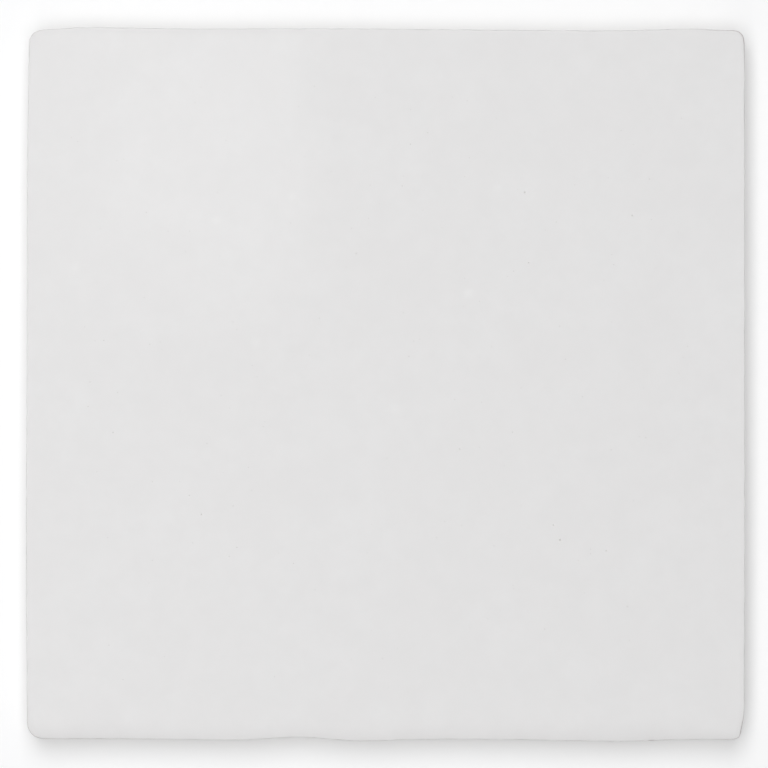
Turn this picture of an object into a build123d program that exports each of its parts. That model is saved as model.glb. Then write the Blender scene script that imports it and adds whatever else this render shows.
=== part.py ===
"""A glazed ceramic wall tile with a hand-made look: wandering sides, four differently worn corners, a
small arris, a face that rolls down along the bottom and has slow hollows, and a keyed back. It lies face
up with its bedding back on the XY plane, X across the face and Y up the face as it is hung."""

import os

from build123d import *

# Overall size, at the fullest point of each side and of the face
tile_width = 130.0
tile_height = 129.2
tile_thickness = 10.0

# The round of the arris all along the glazed face, and how much further each corner is worn than the arris
arris_radius = 0.5
top_left_wear = 1.9
top_right_wear = 1.4
bottom_right_wear = 1.4
bottom_left_wear = 2.3

# How far the side that comes to each corner, and the side that leaves it clockwise, have fallen in
# there from their fullest lines
top_left_fall = (0.50, 0.42)
top_right_fall = (0.50, 0.04)
bottom_right_fall = (0.10, 0.30)
bottom_left_fall = (0.45, 0.15)

# How each side wanders, clockwise: the share of the way along it, and how far it has fallen in there
top_wander = (
    (0.06, 0.12), (0.12, 0.03), (0.22, 0.25), (0.40, 0.18),
    (0.56, 0.38), (0.72, 0.50), (0.86, 0.48), (0.93, 0.25),
)
right_wander = ((0.25, 0.04), (0.50, 0.02), (0.80, 0.02))
bottom_wander = (
    (0.07, 0.34), (0.14, 0.06), (0.24, 0.10), (0.48, 0.25),
    (0.56, 0.20), (0.617, 0.78), (0.67, 0.42), (0.79, 0.36),
)
left_wander = ((0.15, 0.03), (0.45, 0.08), (0.65, 0.15), (0.86, 0.27))

# The roll along the bottom, where the face sags to its arris: how far in it starts and how far it falls
roll_width = 2.6
roll_fall = 0.30

# The slow hollows where the face sank in drying: how far each lies from the middle as shares of the
# width and the height, how wide they are as a share of the width, and how deep
hollow_places = ((-0.25, 0.19), (0.25, 0.25), (0.26, -0.25), (-0.27, -0.25))
hollow_share = 0.40
hollow_depth = 0.05

# The skirt, where the press draws the sides in to the back, and the worn edge round the back
skirt_height = 4.5
skirt_setback = 0.8
back_edge = 0.5

# The keyed back: rows of drafted pockets inside a plain rim, parted by lands that cross at the middle
keys_per_row = 4
key_rim = 10.0
key_land = 4.0
key_depth = 0.9
key_corner_radius = 2.5
key_draft = 20.0


def outline(inset):
    """Draws the tile's outline, clockwise from the top left corner, moved in by inset all round: each
    side is a curve through its wander, and meets its corners' arcs along its own direction."""
    right = tile_width / 2 - inset
    top = tile_height / 2 - inset
    full_corners = [Vector(-right, top), Vector(right, top), Vector(right, -top), Vector(-right, -top)]
    along = [Vector(1, 0), Vector(0, -1), Vector(-1, 0), Vector(0, 1)]
    inward = [Vector(0, -1), Vector(-1, 0), Vector(0, 1), Vector(1, 0)]
    wears = [top_left_wear, top_right_wear, bottom_right_wear, bottom_left_wear]
    falls = [top_left_fall, top_right_fall, bottom_right_fall, bottom_left_fall]
    wanders = [top_wander, right_wander, bottom_wander, left_wander]
    arcs = []
    for i, (fall_before, fall_after) in enumerate(falls):
        radius = arris_radius + wears[i]
        tip = full_corners[i] + inward[i - 1] * fall_before + inward[i] * fall_after
        arcs.append(TangentArc(tip - along[i - 1] * radius, tip + along[i] * radius, tangent=along[i - 1]))
    for i, wander in enumerate(wanders):
        following = (i + 1) % len(wanders)
        whole = full_corners[following] - full_corners[i]
        waypoints = [full_corners[i] + whole * share + inward[i] * fall for share, fall in wander]
        Spline(arcs[i] @ 1, *waypoints, arcs[following] @ 0, tangents=(along[i], along[i]))


# Each hollow is the bowl that a very large ball leaves as it sinks into the face
hollow_reach = hollow_share * tile_width / 2
hollow_ball_radius = (hollow_reach**2 + hollow_depth**2) / (2 * hollow_depth)
hollow_ball_height = tile_thickness - hollow_depth + hollow_ball_radius

# The pockets share out what the rim and the lands leave of the back
key_width = (tile_width - 2 * key_rim - (keys_per_row - 1) * key_land) / keys_per_row
key_height = (tile_height - 2 * key_rim - (keys_per_row - 1) * key_land) / keys_per_row

with BuildPart() as tile:
    # The pressed blank, with its skirt drawn in to the back
    blank_levels = (
        (0, skirt_setback + back_edge),
        (back_edge, skirt_setback),
        (skirt_height, 0),
        (tile_thickness, 0),
    )
    for height, inset in blank_levels:
        with BuildSketch(Plane.XY.offset(height)):
            with BuildLine():
                outline(inset)
            make_face()
    loft(ruled=True)

    # The face: it rolls down along the bottom, its arris is rounded all along, and inside it the hollows lie
    with BuildSketch(Plane.YZ.offset(-tile_width)):
        with BuildLine():
            roll_start = roll_width - tile_height / 2
            roll_end = tile_thickness - roll_fall
            TangentArc((roll_start, tile_thickness), (-tile_height / 2, roll_end), tangent=(-1, 0))
            Polyline(
                (-tile_height / 2, roll_end),
                (-tile_height, roll_end),
                (-tile_height, 2 * tile_thickness),
                (roll_start, 2 * tile_thickness),
                (roll_start, tile_thickness),
            )
        make_face()
    extrude(amount=2 * tile_width, mode=Mode.SUBTRACT)
    face_and_roll = tile.faces().sort_by(Axis.Z)[-2:]
    arris = face_and_roll.edges().filter_by(GeomType.LINE, reverse=True)
    fillet(arris, arris_radius)
    hollow_centers = [
        (across * tile_width, up * tile_height, hollow_ball_height) for across, up in hollow_places
    ]
    with Locations(*hollow_centers):
        Sphere(hollow_ball_radius, rotation=(90, 0, 0), mode=Mode.SUBTRACT)

    # The pockets that key the back into its bed
    with BuildSketch(Plane.XY):
        with GridLocations(key_width + key_land, key_height + key_land, keys_per_row, keys_per_row):
            RectangleRounded(key_width, key_height, key_corner_radius)
    extrude(amount=key_depth, taper=key_draft, mode=Mode.SUBTRACT)

tile.part.label = "tile"
os.makedirs("parts", exist_ok=True)
export_step(tile.part, "parts/tile.step")
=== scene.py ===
import bpy
import numpy as np
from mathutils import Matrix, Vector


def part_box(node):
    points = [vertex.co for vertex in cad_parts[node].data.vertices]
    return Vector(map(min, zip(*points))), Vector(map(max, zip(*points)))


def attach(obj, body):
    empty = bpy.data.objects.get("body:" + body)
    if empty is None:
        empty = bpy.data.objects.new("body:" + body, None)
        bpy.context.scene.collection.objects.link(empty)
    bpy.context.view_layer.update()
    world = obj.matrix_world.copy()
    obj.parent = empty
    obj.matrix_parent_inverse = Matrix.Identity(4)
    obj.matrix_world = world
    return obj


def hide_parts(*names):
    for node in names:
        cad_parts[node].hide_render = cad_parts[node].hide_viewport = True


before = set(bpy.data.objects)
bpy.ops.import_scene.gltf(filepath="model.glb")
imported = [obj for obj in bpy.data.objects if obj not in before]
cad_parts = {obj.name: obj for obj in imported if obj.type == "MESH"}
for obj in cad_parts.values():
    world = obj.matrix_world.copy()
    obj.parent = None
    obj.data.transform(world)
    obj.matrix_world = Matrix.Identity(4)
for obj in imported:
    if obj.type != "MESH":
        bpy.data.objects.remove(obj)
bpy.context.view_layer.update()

# The tile is one pressed and fired piece of pale earthenware. Its face, its rolled arris and the upper
# part of its sides carry a soft-gloss white glaze, dipped by hand so that it ends below in a ragged line;
# the skirt and the keyed back are bare biscuit.
mm = 0.001
tile_low, tile_high = (np.array(corner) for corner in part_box("tile"))
face_level = tile_high[2]
skirt_line = 4.5 * mm
chance = np.random.default_rng(23)


def bell_evened(values, spacing, width):
    """Values round a closed line, evened out by a bell curve of the given width: each wave of the line is
    weakened by exp(-2 (pi width / length)^2)."""
    waves = np.fft.fftfreq(len(values), spacing)
    weaken = np.exp(-2 * (np.pi * width * waves) ** 2)
    return np.fft.ifft(np.fft.fft(values, axis=0) * weaken.reshape(-1, *[1] * (values.ndim - 1)), axis=0).real


def solid_outline(node, height, steps, evening):
    """The solid's closed outline at one height, anticlockwise: its vertices there in the order of their
    angle round the middle, walked at even steps and evened out."""
    places = np.empty(3 * len(node.data.vertices))
    node.data.vertices.foreach_get("co", places)
    places = places.reshape(-1, 3)
    loop = np.unique(np.round(places[np.abs(places[:, 2] - height) < 1e-5, :2], 7), axis=0)
    loop = loop[np.argsort(np.arctan2(loop[:, 1], loop[:, 0]))]
    loop = np.vstack([loop, loop[:1]])
    run = np.concatenate([[0], np.cumsum(np.hypot(*np.diff(loop, axis=0).T))])
    walk = np.linspace(0, run[-1], steps, endpoint=False)
    points = np.stack([np.interp(walk, run, loop[:, 0]), np.interp(walk, run, loop[:, 1])], axis=1)
    return bell_evened(points, run[-1] / steps, evening)


# Each side is cut into as many steps as the face's grid, closer together towards the corners
side_steps = 224
corner_pull = 0.5
even_share = np.arange(side_steps + 1) / side_steps
side_share = even_share - corner_pull * np.sin(2 * np.pi * even_share) / (2 * np.pi)
rim_steps = 4 * side_steps

outline = solid_outline(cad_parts["tile"], skirt_line, 8000, 0.5 * mm)
diagonals = np.array([(-1, -1), (1, -1), (1, 1), (-1, 1)])
corner_at = np.argmax(outline @ diagonals.T, axis=0)
corner_next = np.roll(corner_at, -1)
corner_next = np.where(corner_next > corner_at, corner_next, corner_next + len(outline))
rim_walk = (corner_at[:, None] + (corner_next - corner_at)[:, None] * side_share[:-1]).ravel()
heading = np.roll(outline, -1, axis=0) - np.roll(outline, 1, axis=0)
heading /= np.linalg.norm(heading, axis=1, keepdims=True)
rim_place = (np.arange(4)[:, None] + side_share[:-1]).ravel()


def at_rim(values):
    """Values along the closed outline, read off at the rim's steps: straight between neighbours."""
    return np.interp(rim_walk, np.arange(len(outline)), values, period=len(outline))


rim = np.column_stack([at_rim(outline[:, 0]), at_rim(outline[:, 1])])
rim_inward = np.column_stack([-at_rim(heading[:, 1]), at_rim(heading[:, 0])])


def rim_wobble(shortest, longest, count):
    """A seeded wobble round the rim, about -1 to 1: the mean of waves that go a whole number of times
    round, with lengths between shortest and longest."""
    round_about = 2 * (np.ptp(outline[:, 0]) + np.ptp(outline[:, 1]))
    turns = chance.integers(int(round_about / longest), int(round_about / shortest), count)
    phases = chance.uniform(0, 2 * np.pi, count)
    return np.cos(turns * (2 * np.pi * rim_place[:, None] / 4) + phases).sum(axis=1) / np.sqrt(count)


# The glazed face: a fine grid over its middle, with slow hollows and a faint ripple of the dipped glaze
face_margin = 6.5 * mm
face_half = (tile_high - tile_low)[:2] / 2 - face_margin
face_middle = (tile_high + tile_low)[:2] / 2
hollow_middles = np.array([(-32.5, 24.5), (32.5, 32.3), (33.8, -32.3), (-35.1, -32.3)]) * mm
hollow_reach = 28.0 * mm
hollow_depth = 0.02 * mm
ripple_count = 40
ripple_turn = chance.uniform(0, 2 * np.pi, ripple_count)
ripple_length = chance.uniform(9, 26, ripple_count) * mm
ripple_phase = chance.uniform(0, 2 * np.pi, ripple_count)
ripple_height = 0.0006 * mm
ripple_limit = 0.01 * mm


def glaze_height(x, y):
    """Height of the glazed face: its level, less round hollows that fall as (1 - r^2)^2 to their middles,
    and a ripple that is the sum of many plane waves of chance direction, length and phase."""
    from_x, from_y = x[..., None] - hollow_middles[:, 0], y[..., None] - hollow_middles[:, 1]
    across = (from_x**2 + from_y**2) / hollow_reach**2
    hollows = (np.clip(1 - across, 0, None) ** 2).sum(axis=-1) * hollow_depth
    along = x[..., None] * np.cos(ripple_turn) + y[..., None] * np.sin(ripple_turn)
    ripple = np.cos(2 * np.pi * along / ripple_length + ripple_phase).sum(axis=-1) * ripple_height
    return face_level - ripple_limit - hollows + np.clip(ripple, -ripple_limit, ripple_limit)


def square_loop(ids):
    """The ids round the edge of a square array, anticlockwise from its first corner."""
    return np.concatenate([ids[:-1, 0], ids[-1, :-1], ids[:0:-1, -1], ids[0, :0:-1]])


grid_x = face_middle[0] + face_half[0] * (2 * side_share - 1)
grid_y = face_middle[1] + face_half[1] * (2 * side_share - 1)
face_x, face_y = np.meshgrid(grid_x, grid_y, indexing="ij")
face_points = np.stack([face_x, face_y, glaze_height(face_x, face_y)], axis=-1).reshape(-1, 3)
face_ids = np.arange(len(face_points)).reshape(side_steps + 1, side_steps + 1)
face_rim_ids = square_loop(face_ids)
face_squares = np.stack(
    [face_ids[:-1, :-1], face_ids[1:, :-1], face_ids[1:, 1:], face_ids[:-1, 1:]], axis=-1
)

# The face falls to its arris like a pillow, most along the bottom, and the arris itself is small. Each row:
# the place round the tile, in sides anticlockwise from the bottom left corner, then in millimetres how wide
# and how deep the fall is there and how round the arris
edge_table = np.array(
    [
        (0.00, 1.9, 0.32, 0.32), (0.03, 2.9, 0.52, 0.26), (0.09, 3.4, 0.58, 0.22),
        (0.16, 3.0, 0.46, 0.20), (0.50, 2.9, 0.42, 0.20), (0.80, 3.8, 0.58, 0.20),
        (0.90, 3.6, 0.58, 0.20), (0.96, 2.4, 0.40, 0.26), (1.00, 1.2, 0.16, 0.32),
        (1.03, 0.8, 0.08, 0.20), (1.20, 0.6, 0.05, 0.15), (1.80, 0.5, 0.04, 0.15),
        (1.97, 0.6, 0.05, 0.22), (2.00, 0.8, 0.10, 0.50), (2.04, 0.9, 0.08, 0.26),
        (2.50, 1.0, 0.07, 0.22), (2.95, 1.1, 0.08, 0.22), (3.00, 1.3, 0.12, 0.28),
        (3.05, 0.6, 0.04, 0.17), (3.50, 0.5, 0.03, 0.15), (3.95, 1.0, 0.10, 0.24),
    ]
)


def edge_size(column):
    """One size of the edge table all round the rim, in metres: straight between the table's places."""
    return np.interp(rim_place, edge_table[:, 0], edge_table[:, column], period=4) * mm


fall_width = edge_size(1) * (1 + 0.05 * rim_wobble(8 * mm, 24 * mm, 16).clip(-1.5, 1.5))
fall_depth = edge_size(2) * (1 + 0.08 * rim_wobble(6 * mm, 24 * mm, 16))
arris_round = edge_size(3) * (1 + 0.30 * rim_wobble(4 * mm, 15 * mm, 14)).clip(0.4, 1.8)

# One small chip has broken out of the arris on the right of the bottom
chip_place, chip_reach, chip_round = 0.873, 0.004, 0.30 * mm
chip = np.exp(-(((rim_place - chip_place) / chip_reach) ** 2))
arris_round = arris_round + chip_round * chip
arris_slope = np.arctan(2 * fall_depth / fall_width)
arris_inset = arris_round * (1 - np.sin(arris_slope))

# The sides waver finely all along, and the bottom right corner is worn off aslant, more up the right side
# than along the bottom: each row is a place round the tile and a wear in millimetres
waver_depth = 0.02 * mm
rim_waver = waver_depth * (1 + rim_wobble(3 * mm, 9 * mm, 16)).clip(0, 2)
slant_table = np.array(
    [(0.985, 0.0), (0.997, 0.10), (1.003, 0.36), (1.010, 0.45), (1.018, 0.32), (1.028, 0.16), (1.045, 0.0)]
)
rim_worn = np.interp(rim_place, slant_table[:, 0], slant_table[:, 1]) * mm
rim = rim + rim_inward * (rim_waver + rim_worn)[:, None]


def rim_row(inset, height):
    """One line round the tile: the outline moved inwards by inset, at a height, both numbers or arrays."""
    inset = np.broadcast_to(inset, rim_steps)
    height = np.broadcast_to(height, rim_steps)
    return np.column_stack([rim + rim_inward * inset[:, None], height])


# The flat rows out to the fall, the fall as a parabola, then the arris as part of a circle
fall_start = rim + rim_inward * (fall_width + arris_inset)[:, None]
flat_shares = np.array([0.25, 0.5, 0.70, 0.86])[:, None, None]
flat_xy = face_points[face_rim_ids, :2] * (1 - flat_shares) + fall_start * flat_shares
flat_rows = np.concatenate([flat_xy, glaze_height(flat_xy[..., 0], flat_xy[..., 1])[..., None]], axis=-1)
fall_top = glaze_height(fall_start[:, 0], fall_start[:, 1])
fall_rows = [
    rim_row(arris_inset + fall_width * (1 - share), fall_top - fall_depth * share**2)
    for share in (0.0, 0.2, 0.4, 0.6, 0.8)
]
arris_top = fall_top - fall_depth
arris_shares = np.array([0.0, 0.17, 0.34, 0.5, 0.67, 0.84, 1.0])
arris_turns = arris_slope + (np.pi / 2 - arris_slope) * arris_shares[:, None]
arris_rows = [
    rim_row(
        arris_round * (1 - np.sin(turn)),
        arris_top - arris_round * (np.cos(arris_slope) - np.cos(turn)),
    )
    for turn in arris_turns
]

# The glazed part of the sides runs down to a ragged line and ends there in a thin bead
line_height, slow_sway, fine_sway = 5.5, 0.35, 0.15
slow_wobble = rim_wobble(6 * mm, 60 * mm, 14)
fine_wobble = rim_wobble(2 * mm, 6 * mm, 14)
glaze_line = (line_height + slow_sway * slow_wobble + fine_sway * fine_wobble) * mm
side_hollow = 0.05 * mm
side_top = arris_rows[-1][:, 2]
side_foot = glaze_line + 0.35 * mm
side_rows = [
    rim_row(side_hollow * np.sin(np.pi * share), side_top + (side_foot - side_top) * share)
    for share in (0.2, 0.45, 0.7, 0.9)
]
# Round the bead: how far in from the outline and how far above the line, in millimetres
bead_profile = [(0.0, 0.3), (0.0, 0.12), (0.05, 0.0)]
bead_rows = [rim_row(inset * mm, glaze_line + rise * mm) for inset, rise in bead_profile]

# The bare part: a step under the bead, then the skirt drawn in to the back and its worn edge, each by how far
# in from the outline and how high, in millimetres
skirt_profile = [(0.36, 3.1), (0.58, 1.8), (0.78, 0.6), (0.90, 0.3), (1.08, 0.08), (1.32, 0.0)]
step_insets = (0.14 * mm, 0.15 * mm, 0.16 * mm)
bare_rows = [
    rim_row(step_insets[0], glaze_line - 0.04 * mm),
    rim_row(step_insets[1], glaze_line * 0.5 + skirt_line * 0.5 - 0.1 * mm),
    rim_row(step_insets[2], skirt_line - 0.3 * mm),
    *(rim_row(inset * mm, height * mm) for inset, height in skirt_profile),
]
glazed_rows = np.stack([*flat_rows, *fall_rows, *arris_rows, *side_rows, *bead_rows])
rows = np.concatenate([glazed_rows, np.stack(bare_rows)])
row_ids = len(face_points) + np.arange(len(rows) * rim_steps).reshape(len(rows), rim_steps)
row_ids = np.vstack([face_rim_ids, row_ids])
glazed_bands = len(glazed_rows)


def bands(ids):
    """Quads between neighbouring closed lines: each step of a line with the same step of the next line."""
    after = np.roll(ids, -1, axis=-1)
    return np.stack([ids[:-1], ids[1:], after[1:], after[:-1]], axis=-1).reshape(-1, 4)


# The keyed back: square fields, each with a pocket whose mouth is a rounded square and whose walls
# draw in with the press's draft to a flat floor
keys_per_row = 4
key_rim, key_land, key_round = 10.0 * mm, 4.0 * mm, 2.5 * mm
key_steps = side_steps // 4 // keys_per_row
key_pull = 0.7
key_even = np.arange(key_steps) / key_steps
key_share = key_even - key_pull * np.sin(2 * np.pi * key_even) / (2 * np.pi)
key_size = ((tile_high - tile_low)[:2] - 2 * key_rim - (keys_per_row - 1) * key_land) / keys_per_row
key_pitch = key_size + key_land
lattice_share = np.append((np.arange(keys_per_row)[:, None] + key_share).ravel(), keys_per_row)
lattice_axes = [face_middle[i] + key_pitch[i] * (lattice_share - keys_per_row / 2) for i in (0, 1)]
lattice_points = np.stack(np.meshgrid(*lattice_axes, indexing="ij"), axis=-1).reshape(-1, 2)
lattice_points = np.column_stack([lattice_points, np.zeros(len(lattice_points))])
lattice_ids = row_ids[-1, -1] + 1 + np.arange(len(lattice_points)).reshape(len(lattice_share), -1)
key_fields = [
    square_loop(lattice_ids[i * key_steps:(i + 1) * key_steps + 1, j * key_steps:(j + 1) * key_steps + 1])
    for i in range(keys_per_row)
    for j in range(keys_per_row)
]
key_fields = np.array(key_fields)
field_points = lattice_points[key_fields - lattice_ids[0, 0], :2]
field_middles = (field_points.min(axis=1) + field_points.max(axis=1)) / 2
field_reach = (field_points - field_middles[:, None]) / (key_pitch / 2)
# Down a pocket's wall: how far in from the mouth and how far up, in millimetres
key_profile = [(-0.12, 0.0), (0.0, 0.03), (0.06, 0.14), (0.25, 0.72), (0.36, 0.86), (0.60, 0.90)]


def pocket_line(inset, rise):
    """One line round every pocket: the field's edge drawn in to the mouth's size less inset, each point kept
    to a square smaller by the round and pushed out from it by the round."""
    half = key_size / 2 - inset * mm
    rounded = key_round - inset * mm
    wanted = field_reach * half
    kept = np.clip(wanted, -(half - rounded), half - rounded)
    out = wanted - kept
    out *= rounded / np.linalg.norm(out, axis=-1, keepdims=True)
    flat = field_middles[:, None] + kept + out
    return np.concatenate([flat, np.full(flat.shape[:2] + (1,), rise * mm)], axis=-1)


pocket_lines = np.stack([pocket_line(inset, rise) for inset, rise in key_profile], axis=1)
pocket_ids = lattice_ids[-1, -1] + 1 + np.arange(pocket_lines[..., 0].size).reshape(pocket_lines.shape[:3])
floor_middles = np.column_stack([field_middles, np.full(len(field_middles), key_profile[-1][1] * mm)])
floor_middle_ids = pocket_ids[-1, -1, -1] + 1 + np.arange(len(floor_middles))
key_lines = np.concatenate([key_fields[:, None], pocket_ids], axis=1)
key_quads = np.concatenate([bands(lines) for lines in key_lines])
floor_line = key_lines[:, -1]
floor_after = np.roll(floor_line, -1, axis=1)
floor_centre = np.broadcast_to(floor_middle_ids[:, None], floor_line.shape)
floor_tris = np.stack([floor_line, floor_centre, floor_after], axis=-1).reshape(-1, 3)

# The back's flat rim goes from the tile's many steps to the lattice's fewer, four to one
rim_fours = row_ids[-1].reshape(-1, 4)
rim_five = np.column_stack([rim_fours, np.roll(rim_fours[:, 0], -1)])
lattice_rim = square_loop(lattice_ids)
lattice_after = np.roll(lattice_rim, -1)
step_tris = np.concatenate(
    [
        np.column_stack([rim_five[:, 0], lattice_rim, rim_five[:, 1]]),
        np.column_stack([rim_five[:, 1], lattice_rim, rim_five[:, 2]]),
        np.column_stack([rim_five[:, 2], lattice_rim, lattice_after]),
        np.column_stack([rim_five[:, 2], lattice_after, rim_five[:, 3]]),
        np.column_stack([rim_five[:, 3], lattice_after, rim_five[:, 4]]),
    ]
)

# Pinholes in the glaze: the wider ones where they lie on the face, from its middle, the darkest first, and
# many fine ones by chance, each a small round pit let into one square of the face's grid
wide_pinholes = np.array(
    [
        (31.6, -28.1), (-35.4, -20.1), (-33.3, -23.5), (-49.4, -8.7), (25.3, 34.7), (30.4, -25.4),
        (25.9, 21.8), (39.9, -30.1), (44.7, 30.5), (-26.8, -29.5), (-5.3, 23.8), (7.8, 45.5),
        (-28.2, -31.1), (13.2, -11.6), (-56.8, 44.6), (30.9, 29.4), (-51.6, 28.2), (-34.4, 51.0),
    ]
) * mm
fine_pinholes = chance.uniform(-0.97, 0.97, (150, 2)) * face_half
wide_count, fine_count = len(wide_pinholes), len(fine_pinholes)
pinholes = np.concatenate([wide_pinholes, fine_pinholes]) + face_middle
pinhole_size = mm * np.concatenate(
    [chance.uniform(0.14, 0.19, wide_count), chance.uniform(0.07, 0.11, fine_count)]
)
# How dark each pinhole is painted, partly for the bare body in it and partly as painted shade, the wider ones
# darkest first
pinhole_body_and_shade = np.concatenate(
    [np.sort(chance.uniform(0.08, 0.36, wide_count))[::-1], chance.uniform(0.15, 0.5, fine_count)]
)
pit_column = np.searchsorted(grid_x, pinholes[:, 0]) - 1
pit_line = np.searchsorted(grid_y, pinholes[:, 1]) - 1
_, first_in_square = np.unique(pit_column * side_steps + pit_line, return_index=True)
pit_column, pit_line = pit_column[first_in_square], pit_line[first_in_square]
pinholes = pinholes[first_in_square]
pinhole_size, pinhole_body_and_shade = pinhole_size[first_in_square], pinhole_body_and_shade[first_in_square]
square_low = np.column_stack([grid_x[pit_column], grid_y[pit_line]])
square_high = np.column_stack([grid_x[pit_column + 1], grid_y[pit_line + 1]])
largest_share, room_share = 0.4, 1.15
pinhole_size = np.minimum(pinhole_size, largest_share * (square_high - square_low).min(axis=1))
pit_room = room_share * pinhole_size[:, None]
pinholes = np.clip(pinholes, square_low + pit_room, square_high - pit_room)
pit_turns = np.radians(225 + 45 * np.arange(8))
pit_circle = np.column_stack([np.cos(pit_turns), np.sin(pit_turns)])
pit_rings = np.array([1.0, 0.72, 0.42])
pit_falls = np.array([0.0, 0.22, 0.75])
# Each ring's share of its pinhole's painted darkening: the painted shade is deepest at the bottom
pit_shades = np.array([0.0, 0.8, 1.0])
pit_reach = (pinhole_size[:, None] * pit_rings)[..., None, None]
pit_xy = pinholes[:, None, None] + pit_reach * pit_circle
pit_level = glaze_height(pinholes[:, 0], pinholes[:, 1])
pit_z = pit_level[:, None] - pinhole_size[:, None] * pit_falls
pit_heights = np.broadcast_to(pit_z[..., None, None], pit_xy.shape[:3] + (1,))
pit_points = np.concatenate([pit_xy, pit_heights], axis=-1)
pit_bottoms = np.column_stack([pinholes, pit_level - pinhole_size])
pit_ids = floor_middle_ids[-1] + 1 + np.arange(pit_points[..., 0].size).reshape(pit_points.shape[:3])
pit_bottom_ids = pit_ids[-1, -1, -1] + 1 + np.arange(len(pit_bottoms))

# Triangles from each square's corners to the pit's mouth, quads down its rings and triangles to its bottom
square_corners = face_squares[pit_column, pit_line]
corner_after = np.roll(square_corners, -1, axis=1)
ring_here, ring_half = pit_ids[:, 0, 0::2], pit_ids[:, 0, 1::2]
ring_after = np.roll(ring_here, -1, axis=1)
pit_after = np.roll(pit_ids, -1, axis=2)
pit_lowest = np.broadcast_to(pit_bottom_ids[:, None], pit_ids[:, -1].shape)
pit_tris = np.concatenate(
    [
        np.stack([square_corners, corner_after, ring_half], axis=-1).reshape(-1, 3),
        np.stack([square_corners, ring_half, ring_here], axis=-1).reshape(-1, 3),
        np.stack([corner_after, ring_after, ring_half], axis=-1).reshape(-1, 3),
        np.stack([pit_ids[:, -1], pit_after[:, -1], pit_lowest], axis=-1).reshape(-1, 3),
    ]
)
pit_quads = np.stack(
    [pit_ids[:, :-1], pit_after[:, :-1], pit_after[:, 1:], pit_ids[:, 1:]], axis=-1
).reshape(-1, 4)
plain_squares = np.ones((side_steps, side_steps), bool)
plain_squares[pit_column, pit_line] = False
face_quads = face_squares[plain_squares]

# All the points of the tile, and how dark a pinhole is painted at each, partly the bare body in it and partly
# painted shade in the pit
points = np.concatenate(
    [
        face_points, rows.reshape(-1, 3), lattice_points, pocket_lines.reshape(-1, 3), floor_middles,
        pit_points.reshape(-1, 3), pit_bottoms,
    ]
)
pinhole_body_and_shade_mark = np.zeros(len(points))
pinhole_body_and_shade_mark[pit_ids] = pinhole_body_and_shade[:, None, None] * pit_shades[:, None]
pinhole_body_and_shade_mark[pit_bottom_ids] = pinhole_body_and_shade

# A few small painted glints, spots where the glaze is painted lighter, placed from the middle of the face
glint_spots = np.array(
    [(15.0, 16.5), (-56.1, 21.2), (-30.6, 29.7), (-16.9, 34.0), (20.2, 35.4), (-23.5, 7.6), (1.8, -4.3)]
) * mm
glint_plain = np.array([0.62, 0.36, 0.42, 0.38, 0.36, 0.36, 0.36])
glint_reach = 0.75 * mm
glint_far = np.linalg.norm(face_points[:, None, :2] - face_middle - glint_spots, axis=-1)
painted_glint_mark = np.zeros(len(points))
painted_glint_mark[face_ids.ravel()] = (glint_plain * np.exp(-((glint_far / glint_reach) ** 2))).sum(axis=1)

# Where the glaze has drawn thin: round the corners, along the bottom arris, in the chip, and down the sides
# towards its lower line; each row of the table is a place round the tile and a share
thin_table = np.array(
    [
        (0.00, 0.45), (0.03, 0.30), (0.08, 0.25), (0.92, 0.25), (0.97, 0.40), (1.00, 0.90), (1.03, 0.40),
        (1.08, 0.00), (1.92, 0.00), (1.97, 0.40), (2.00, 1.00), (2.03, 0.35), (2.08, 0.00), (2.92, 0.00),
        (2.97, 0.15), (3.00, 0.30), (3.03, 0.15), (3.08, 0.00), (3.92, 0.10),
    ]
)
corner_thin = np.interp(rim_place, thin_table[:, 0], thin_table[:, 1], period=4)
thin_turn, thin_spread = np.radians(60), np.radians(24)
thin_mark = np.zeros(len(points))
arris_first = 1 + len(flat_rows) + len(fall_rows)
arris_ids = row_ids[arris_first:arris_first + len(arris_rows)]
thin_over = np.exp(-(((arris_turns - thin_turn) / thin_spread) ** 2))
thin_mark[arris_ids] = np.maximum(corner_thin, chip) * thin_over
side_first = arris_first + len(arris_rows)
side_thin = np.array([0.0, 0.04, 0.14, 0.30, 0.22, 0.30, 0.45])
side_wander = np.clip(1 + 0.6 * rim_wobble(5 * mm, 40 * mm, 16), 0.1, 2.0)
thin_mark[row_ids[side_first:side_first + len(side_thin)]] = side_thin[:, None] * side_wander

# The faces, the glazed ones first; each corner gets its place on the flat sheet that finishes are kept on:
# the face large at the lower left, the back small above it and the sides as four upright strips beside
rim_quads = bands(row_ids)
glazed_quads = rim_quads[: glazed_bands * rim_steps]
bare_quads = rim_quads[glazed_bands * rim_steps:]
quads = np.concatenate([face_quads, pit_quads, glazed_quads, bare_quads, key_quads])
tris = np.concatenate([pit_tris, step_tris, floor_tris])
sheet_room = 0.1312
face_scale, face_place = 0.72 / sheet_room, 0.362
back_scale, back_place = 0.25 / sheet_room, np.array([0.13, 0.865])
strip_left, strip_step, strip_width = 0.735, 0.062, 0.055
strip_foot, strip_length = 0.004, 0.715
side_run = 12.5 * mm


def sheet_face(ids):
    """A point of the face on the sheet: straight down on it, at the face's scale."""
    return face_place + (points[ids, :2] - face_middle) * face_scale


def sheet_back(ids):
    """A point of the back on the sheet: straight up at it, mirrored, at the back's scale."""
    return back_place + (points[ids, :2] - face_middle) * back_scale * np.array([-1, 1])


line_gaps = np.linalg.norm(np.diff(points[row_ids], axis=0), axis=-1).mean(axis=1)
line_down = np.concatenate([[0], np.cumsum(line_gaps)]) * strip_width / side_run


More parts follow.
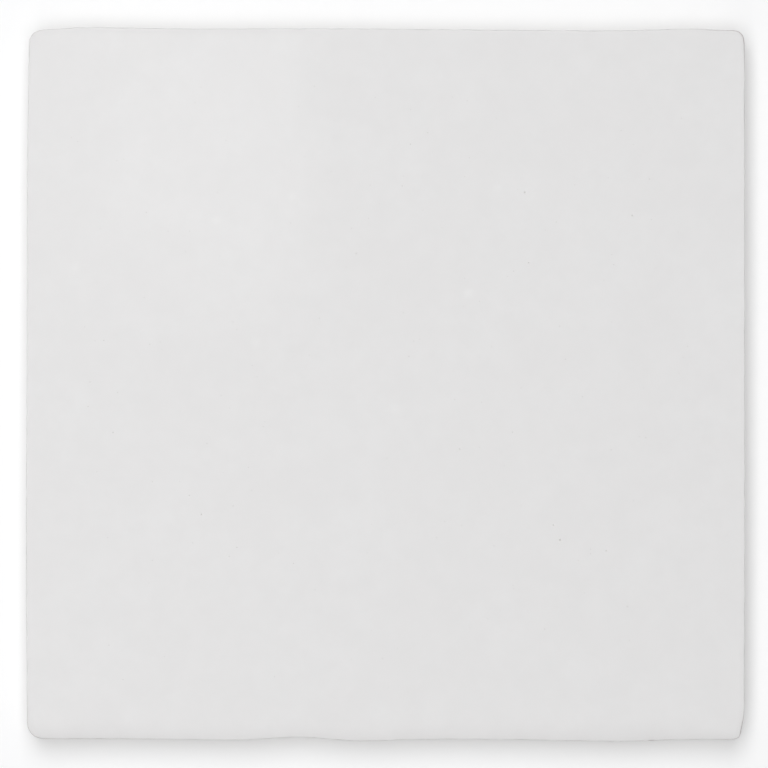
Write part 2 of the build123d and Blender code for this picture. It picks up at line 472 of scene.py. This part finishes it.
def sheet_side(first, last):
    """The quads of some lines of the sides on the sheet: up a strip by the share along a side, across it by
    the distance down from the arris."""
    here = np.broadcast_to(side_share[:-1], (4, side_steps)).ravel()
    after = np.broadcast_to(side_share[1:], (4, side_steps)).ravel()
    strip = strip_left + strip_step * np.repeat(np.arange(4), side_steps)
    down = line_down - line_down[arris_first]
    u = np.stack([down[first:last, None] + strip, down[first + 1:last + 1, None] + strip], axis=-1)
    v = strip_foot + strip_length * np.stack([here, after], axis=-1)
    quad_u = u[..., [0, 1, 1, 0]]
    quad_v = np.broadcast_to(v[:, [0, 0, 1, 1]], quad_u.shape)
    return np.stack([quad_u, quad_v], axis=-1).reshape(-1, 4, 2)


back_first = len(row_ids) - 2
quad_sheet = np.concatenate(
    [
        sheet_face(face_quads),
        sheet_face(pit_quads),
        sheet_face(glazed_quads[: arris_first * rim_steps]),
        sheet_side(arris_first, back_first),
        sheet_back(rim_quads[back_first * rim_steps:]),
        sheet_back(key_quads),
    ]
)
tri_sheet = np.concatenate([sheet_face(pit_tris), sheet_back(step_tris), sheet_back(floor_tris)])
glazed_count = len(face_quads) + len(pit_quads) + len(glazed_quads)
bare_of_quads = np.concatenate([np.zeros(glazed_count), np.ones(len(bare_quads) + len(key_quads))])
bare_of_tris = np.concatenate([np.zeros(len(pit_tris)), np.ones(len(step_tris) + len(floor_tris))])
bare_of_faces = np.concatenate([bare_of_quads, bare_of_tris]).astype(np.int32)

used, renumbered = np.unique(np.concatenate([quads.ravel(), tris.ravel()]), return_inverse=True)
used_quads = renumbered[: quads.size].reshape(-1, 4)
used_tris = renumbered[quads.size:].reshape(-1, 3)
tile_mesh = bpy.data.meshes.new("glazed_tile")
tile_mesh.from_pydata(points[used].tolist(), [], used_quads.tolist() + used_tris.tolist())
tile_mesh.polygons.foreach_set("material_index", bare_of_faces)
tile_mesh.polygons.foreach_set("use_smooth", np.ones(len(tile_mesh.polygons), bool))
sheet = tile_mesh.uv_layers.new(name="OFBake")
sheet.data.foreach_set("uv", np.concatenate([quad_sheet.ravel(), tri_sheet.ravel()]).astype(np.float32))
marks = {"pinhole": pinhole_body_and_shade_mark, "thin_glaze": thin_mark, "painted_glints": painted_glint_mark}
for mark_name, mark in marks.items():
    attribute = tile_mesh.attributes.new(mark_name, "FLOAT", "POINT")
    attribute.data.foreach_set("value", mark[used].astype(np.float32))
sharp_angle = np.radians(40)
tile_mesh.set_sharp_from_angle(angle=sharp_angle)
tile_mesh.update()
tile = bpy.data.objects.new("glazed_tile", tile_mesh)
bpy.context.scene.collection.objects.link(tile)


def add(tree, kind, place, **settings):
    """A node of a kind in a tree, at a place on its sheet, with its settings."""
    node = tree.nodes.new(kind)
    node.location = place
    for name, value in settings.items():
        setattr(node, name, value)
    return node


# Fired clay and glaze share one effect: slow clouds of tone and a fine grain, each from noise on the tile
fired_clouds = bpy.data.node_groups.new("fired_clouds", "ShaderNodeTree")
for socket_name, start in (("Cloud Scale", 40.0), ("Grain Scale", 900.0), ("Stretch", 0.0)):
    socket = fired_clouds.interface.new_socket(socket_name, in_out="INPUT", socket_type="NodeSocketFloat")
    socket.default_value = start
for socket_name in ("Cloud", "Grain"):
    fired_clouds.interface.new_socket(socket_name, in_out="OUTPUT", socket_type="NodeSocketFloat")
group_in = add(fired_clouds, "NodeGroupInput", (-600, 0))
group_out = add(fired_clouds, "NodeGroupOutput", (400, 0))
place_on_tile = add(fired_clouds, "ShaderNodeTexCoord", (-600, 200))
cloud_noise = add(fired_clouds, "ShaderNodeTexNoise", (-200, 150))
cloud_noise.inputs["Detail"].default_value = 3.0
cloud_noise.inputs["Roughness"].default_value = 0.55
grain_noise = add(fired_clouds, "ShaderNodeTexNoise", (-200, -150))
grain_noise.inputs["Detail"].default_value = 4.0
grain_noise.inputs["Roughness"].default_value = 0.6
fired_clouds.links.new(place_on_tile.outputs["Object"], cloud_noise.inputs["Vector"])
fired_clouds.links.new(place_on_tile.outputs["Object"], grain_noise.inputs["Vector"])
fired_clouds.links.new(group_in.outputs["Cloud Scale"], cloud_noise.inputs["Scale"])
fired_clouds.links.new(group_in.outputs["Grain Scale"], grain_noise.inputs["Scale"])
fired_clouds.links.new(group_in.outputs["Stretch"], cloud_noise.inputs["Distortion"])
fired_clouds.links.new(cloud_noise.outputs["Fac"], group_out.inputs["Cloud"])
fired_clouds.links.new(grain_noise.outputs["Fac"], group_out.inputs["Grain"])


def ranged(tree, value, place, low, high, to_low, to_high):
    """A value carried from one range to another and kept inside it."""
    node = add(tree, "ShaderNodeMapRange", place)
    for name, number in (("From Min", low), ("From Max", high), ("To Min", to_low), ("To Max", to_high)):
        node.inputs[name].default_value = number
    tree.links.new(value, node.inputs["Value"])
    return node.outputs["Result"]


def mixed(tree, share, place, first, second):
    """Two colours mixed by a share; each is a colour or a node's output."""
    node = add(tree, "ShaderNodeMix", place, data_type="RGBA")
    tree.links.new(share, node.inputs["Factor"])
    for socket, colour in ((node.inputs[6], first), (node.inputs[7], second)):
        if isinstance(colour, tuple):
            socket.default_value = (*colour, 1.0)
        else:
            tree.links.new(colour, socket)
    return node.outputs[2]


# The white glaze: soft gloss, faintly clouded and mottled, painted lighter in a few small spots as painted
# glints, darker and warmer where it has drawn thin, and darker in the pinholes, partly the bare body and
# partly painted shade
glaze = bpy.data.materials.new("white_glaze")
glaze.use_nodes = True
tree = glaze.node_tree
shader = tree.nodes["Principled BSDF"]
clouds = add(tree, "ShaderNodeGroup", (-1200, 200), node_tree=fired_clouds)
clouds.inputs["Cloud Scale"].default_value = 70.0
clouds.inputs["Grain Scale"].default_value = 240.0
clouds.inputs["Stretch"].default_value = 0.4
thin = add(tree, "ShaderNodeAttribute", (-1200, -150), attribute_name="thin_glaze")
dark = add(tree, "ShaderNodeAttribute", (-1200, -350), attribute_name="pinhole")
glint_node = add(tree, "ShaderNodeAttribute", (-1200, 0), attribute_name="painted_glints")
cloud_share = ranged(tree, clouds.outputs["Cloud"], (-950, 250), 0.3, 0.7, 0.0, 1.0)
grain_share = ranged(tree, clouds.outputs["Grain"], (-950, 0), 0.35, 0.65, 0.0, 0.5)
colour = mixed(tree, cloud_share, (-700, 250), (0.778, 0.773, 0.774), (0.763, 0.755, 0.755))
colour = mixed(tree, grain_share, (-640, 230), colour, (0.745, 0.739, 0.739))
# Painted highlights: the glint spots are mixed towards a lighter white
colour = mixed(tree, glint_node.outputs["Fac"], (-580, 220), colour, (0.825, 0.822, 0.820))
colour = mixed(tree, thin.outputs["Fac"], (-450, 200), colour, (0.52, 0.455, 0.455))
# Partly the body's colour and partly painted shade: the pinholes are mixed towards a dark grey
colour = mixed(tree, dark.outputs["Fac"], (-220, 150), colour, (0.33, 0.31, 0.29))
tree.links.new(colour, shader.inputs["Base Color"])
gloss = ranged(tree, clouds.outputs["Cloud"], (-450, -50), 0.3, 0.7, 0.04, 0.07)
tree.links.new(gloss, shader.inputs["Roughness"])
micro = add(tree, "ShaderNodeBump", (-250, -250))
micro.inputs["Strength"].default_value = 0.05
micro.inputs["Distance"].default_value = 0.00001
tree.links.new(clouds.outputs["Grain"], micro.inputs["Height"])
tree.links.new(micro.outputs["Normal"], shader.inputs["Normal"])
shader.inputs["IOR"].default_value = 1.5

# The bare biscuit: pale buff clay, matt and open-grained, with slow clouds from the kiln and dark specks of
# coarser grit
biscuit = bpy.data.materials.new("bare_biscuit")
biscuit.use_nodes = True
tree = biscuit.node_tree
shader = tree.nodes["Principled BSDF"]
clouds = add(tree, "ShaderNodeGroup", (-1200, 200), node_tree=fired_clouds)
clouds.inputs["Cloud Scale"].default_value = 35.0
clouds.inputs["Grain Scale"].default_value = 2200.0
clouds.inputs["Stretch"].default_value = 0.8
cloud_share = ranged(tree, clouds.outputs["Cloud"], (-950, 250), 0.3, 0.7, 0.0, 1.0)
grain_share = ranged(tree, clouds.outputs["Grain"], (-950, 0), 0.52, 0.70, 0.0, 0.75)
place_on_clay = add(tree, "ShaderNodeTexCoord", (-1400, -300))
specks = add(tree, "ShaderNodeTexVoronoi", (-1200, -300))
specks.inputs["Scale"].default_value = 620.0
tree.links.new(place_on_clay.outputs["Object"], specks.inputs["Vector"])
speck_hue = add(tree, "ShaderNodeSeparateColor", (-950, -450))
tree.links.new(specks.outputs["Color"], speck_hue.inputs["Color"])
speck_round = ranged(tree, specks.outputs["Distance"], (-950, -250), 0.10, 0.24, 1.0, 0.0)
speck_kept = ranged(tree, speck_hue.outputs["Red"], (-750, -450), 0.62, 0.95, 0.0, 0.8)
speck_share = add(tree, "ShaderNodeMath", (-550, -350), operation="MULTIPLY")
tree.links.new(speck_round, speck_share.inputs[0])
tree.links.new(speck_kept, speck_share.inputs[1])
colour = mixed(tree, cloud_share, (-700, 250), (0.765, 0.724, 0.668), (0.700, 0.654, 0.594))
colour = mixed(tree, grain_share, (-450, 200), colour, (0.575, 0.52, 0.455))
colour = mixed(tree, speck_share.outputs[0], (-220, 200), colour, (0.36, 0.29, 0.23))
tree.links.new(colour, shader.inputs["Base Color"])
matt = ranged(tree, clouds.outputs["Grain"], (-450, -50), 0.3, 0.7, 0.82, 0.95)
tree.links.new(matt, shader.inputs["Roughness"])
pores = add(tree, "ShaderNodeBump", (-250, -250))
pores.inputs["Strength"].default_value = 0.35
pores.inputs["Distance"].default_value = 0.0002
tree.links.new(clouds.outputs["Grain"], pores.inputs["Height"])
tree.links.new(pores.outputs["Normal"], shader.inputs["Normal"])

tile_mesh.materials.append(glaze)
tile_mesh.materials.append(biscuit)
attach(tile, "root")
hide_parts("tile")

# The floor: a plain white sheet of paper under the tile, which keeps its shadow
floor_reach = 3.0
floor_level = -0.01 * mm
floor_mesh = bpy.data.meshes.new("paper_floor")
floor_mesh.from_pydata(
    [
        (-floor_reach, -floor_reach, floor_level),
        (floor_reach, -floor_reach, floor_level),
        (floor_reach, floor_reach, floor_level),
        (-floor_reach, floor_reach, floor_level),
    ],
    [],
    [(0, 1, 2, 3)],
)
floor = bpy.data.objects.new("paper_floor", floor_mesh)
bpy.context.scene.collection.objects.link(floor)
paper = bpy.data.materials.new("white_paper")
paper.use_nodes = True
tree = paper.node_tree
shader = tree.nodes["Principled BSDF"]
shader.inputs["Base Color"].default_value = (0.674, 0.677, 0.682, 1.0)
shader.inputs["Roughness"].default_value = 1.0
shader.inputs["Specular IOR Level"].default_value = 0.0
shader.inputs["Emission Color"].default_value = (1.0, 1.0, 1.0, 1.0)


def seen_straight(tree, place):
    """One for rays from the camera, from a glossy surface or through a clear one, and nothing for others."""
    path = add(tree, "ShaderNodeLightPath", place)
    either = add(tree, "ShaderNodeMath", (place[0] + 200, place[1]), operation="MAXIMUM")
    any_of = add(tree, "ShaderNodeMath", (place[0] + 400, place[1]), operation="MAXIMUM")
    tree.links.new(path.outputs["Is Camera Ray"], either.inputs[0])
    tree.links.new(path.outputs["Is Glossy Ray"], either.inputs[1])
    tree.links.new(either.outputs[0], any_of.inputs[0])
    tree.links.new(path.outputs["Is Transmission Ray"], any_of.inputs[1])
    return any_of.outputs[0]


paper_white = ranged(tree, seen_straight(tree, (-900, -300)), (-250, -300), 0.0, 1.0, 0.0, 0.281)
tree.links.new(paper_white, shader.inputs["Emission Strength"])
floor_mesh.materials.append(paper)

# The studio: a white surround that lights little, a large soft box overhead to the upper left and a weak,
# long fill lamp to the lower left, neither of which the glaze mirrors
world = bpy.data.worlds.new("white_surround")
world.use_nodes = True
bpy.context.scene.world = world
tree = world.node_tree
surround = tree.nodes["Background"]
surround.inputs["Color"].default_value = (1.0, 1.0, 1.0, 1.0)
surround_white = ranged(tree, seen_straight(tree, (-900, 0)), (-250, 0), 0.0, 1.0, 0.074, 1.0)
tree.links.new(surround_white, surround.inputs["Strength"])


def lamp(name, middle, tilt, size, power):
    """A rectangular lamp that faces down, by its middle, its tilt about X and then Y, its size across and
    up, and its power."""
    light = bpy.data.lights.new(name, "AREA")
    light.shape = "RECTANGLE"
    light.size, light.size_y = size
    light.energy = power
    holder = bpy.data.objects.new(name, light)
    holder.location = middle
    holder.rotation_euler = (*tilt, 0.0)
    bpy.context.scene.collection.objects.link(holder)
    return holder


soft_box = lamp("soft_box", (-0.171, 0.276, 1.6), (-0.098, 0.464), (0.953, 1.514), 27.84)
soft_box.visible_glossy = False
fill_lamp = lamp("fill_lamp", (-0.276, -0.265, 1.6), (0.164, -0.170), (0.336, 2.433), 4.82)
fill_lamp.visible_glossy = False

# The soft box's pale card, which only the glaze mirrors: bright along its right edge, fading to the left
# and towards its lower end
card_level = 1.01
card_low, card_high = (-0.150, 0.010), (-0.029, 0.150)
card_mesh = bpy.data.meshes.new("mirrored_card")
card_mesh.from_pydata(
    [
        (card_low[0], card_low[1], card_level),
        (card_low[0], card_high[1], card_level),
        (card_high[0], card_high[1], card_level),
        (card_high[0], card_low[1], card_level),
    ],
    [],
    [(0, 1, 2, 3)],
)
card = bpy.data.objects.new("mirrored_card", card_mesh)
bpy.context.scene.collection.objects.link(card)
card.visible_camera = card.visible_diffuse = card.visible_shadow = False
card.visible_transmission = card.visible_volume_scatter = False
card_light = bpy.data.materials.new("card_light")
card_light.use_nodes = True
tree = card_light.node_tree
tree.nodes.remove(tree.nodes["Principled BSDF"])
shine = add(tree, "ShaderNodeEmission", (-100, 0))
place_on_card = add(tree, "ShaderNodeTexCoord", (-1200, 0))
card_axes = add(tree, "ShaderNodeSeparateXYZ", (-1000, 0))
tree.links.new(place_on_card.outputs["Object"], card_axes.inputs["Vector"])
across_card = ranged(tree, card_axes.outputs["X"], (-800, 150), -0.145, -0.085, 0.0, 1.0)
up_card = ranged(tree, card_axes.outputs["Y"], (-800, -150), 0.015, 0.060, 0.0, 1.0)
both = add(tree, "ShaderNodeMath", (-500, 0), operation="MULTIPLY")
tree.links.new(across_card, both.inputs[0])
tree.links.new(up_card, both.inputs[1])
card_shine = ranged(tree, both.outputs[0], (-300, 0), 0.0, 1.0, 1.0, 1.60)
tree.links.new(card_shine, shine.inputs["Strength"])
tree.links.new(shine.outputs["Emission"], tree.nodes["Material Output"].inputs["Surface"])
card_mesh.materials.append(card_light)

# The camera stands straight over the middle of the face, far off with a long lens
camera_data = bpy.data.cameras.new("camera")
camera_distance = 1.0
camera_aside = (-0.00027, 0.00008)
frame_width = 0.13885
camera_data.sensor_width = 36.0
camera_data.lens = camera_data.sensor_width * camera_distance / frame_width
camera = bpy.data.objects.new("camera", camera_data)
camera.location = (*camera_aside, face_level + camera_distance)
bpy.context.scene.collection.objects.link(camera)
bpy.context.scene.camera = camera
bpy.context.scene.view_settings.view_transform = "Standard"
